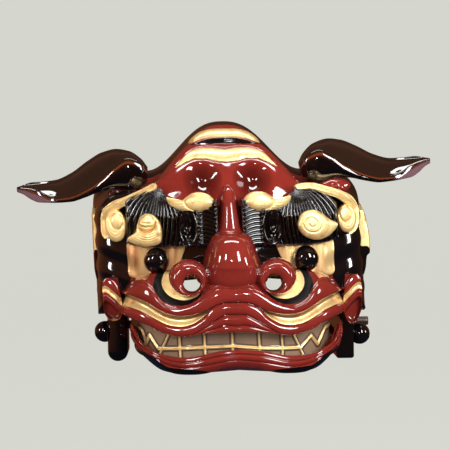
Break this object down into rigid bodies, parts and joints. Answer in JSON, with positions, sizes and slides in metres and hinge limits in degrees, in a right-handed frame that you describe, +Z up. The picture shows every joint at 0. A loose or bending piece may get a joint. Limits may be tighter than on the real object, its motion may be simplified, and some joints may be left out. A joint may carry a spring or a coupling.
{
  "type": "lion dance head",
  "caption": "Carved wooden lion dance head: hollow hood, pierced nostrils, carved brows, gold eyes and teeth, ears that flap on pins, and a jaw that swings on a rod at the back.",
  "frame": {"origin": "on the flat underside of the lower jaw, under the middle of the face, where the head stands", "axes": "+Z up, -Y out of the face, +X towards the right of someone facing it"},
  "size_m": [0.4576, 0.3012, 0.27],
  "materials": {
    "red_lacquer": "glossy red lacquer on carved wood",
    "black_lacquer": "glossy black lacquer on carved wood",
    "gold_leaf": "gold leaf on carved wood",
    "tooth_gold": "toned gold on carved teeth",
    "plain_wood": "bare wood"
  },
  "bodies": {
    "head": {"skull": "red_lacquer", "snout": "red_lacquer", "nose": "red_lacquer", "upper_teeth": "tooth_gold", "brow_left": "black_lacquer", "brow_right": "black_lacquer", "eyelid_left": "gold_leaf", "eyelid_right": "gold_leaf", "brow_trim_left": "gold_leaf", "brow_trim_right": "gold_leaf", "brow_curl_left": "gold_leaf", "brow_curl_right": "gold_leaf", "eye_plate_left": "gold_leaf", "eye_plate_right": "gold_leaf", "pupil_left": "black_lacquer", "pupil_right": "black_lacquer", "side_hair_left": "gold_leaf", "side_hair_right": "gold_leaf", "cheek_fold_left": "red_lacquer", "cheek_fold_right": "red_lacquer", "hinge_plate_left": "black_lacquer", "hinge_plate_right": "black_lacquer", "hinge_rod": "plain_wood", "hinge_knob_left": "black_lacquer", "hinge_knob_right": "black_lacquer", "ear_boss_left": "red_lacquer", "ear_boss_right": "red_lacquer", "ear_pin_left": "plain_wood", "ear_pin_right": "plain_wood"},
    "jaw": {"jaw": "red_lacquer", "lower_teeth": "tooth_gold"},
    "ear_left": {"ear_left": "black_lacquer"},
    "ear_right": {"ear_right": "black_lacquer"}
  },
  "joints": [
    {"name": "jaw_open", "type": "hinge", "parent": "head", "child": "jaw", "pos_m": [0, 0.075, 0.038], "axis": [1, 0, 0], "range_deg": [0, 35]},
    {"name": "ear_left_flap", "type": "hinge", "parent": "head", "child": "ear_left", "pos_m": [-0.1, -0.014, 0.204], "axis": [0, 1, 0], "range_deg": [0, 25]},
    {"name": "ear_right_flap", "type": "hinge", "parent": "head", "child": "ear_right", "pos_m": [0.0916, -0.014, 0.209], "axis": [0, -1, 0], "range_deg": [0, 25]}
  ]
}
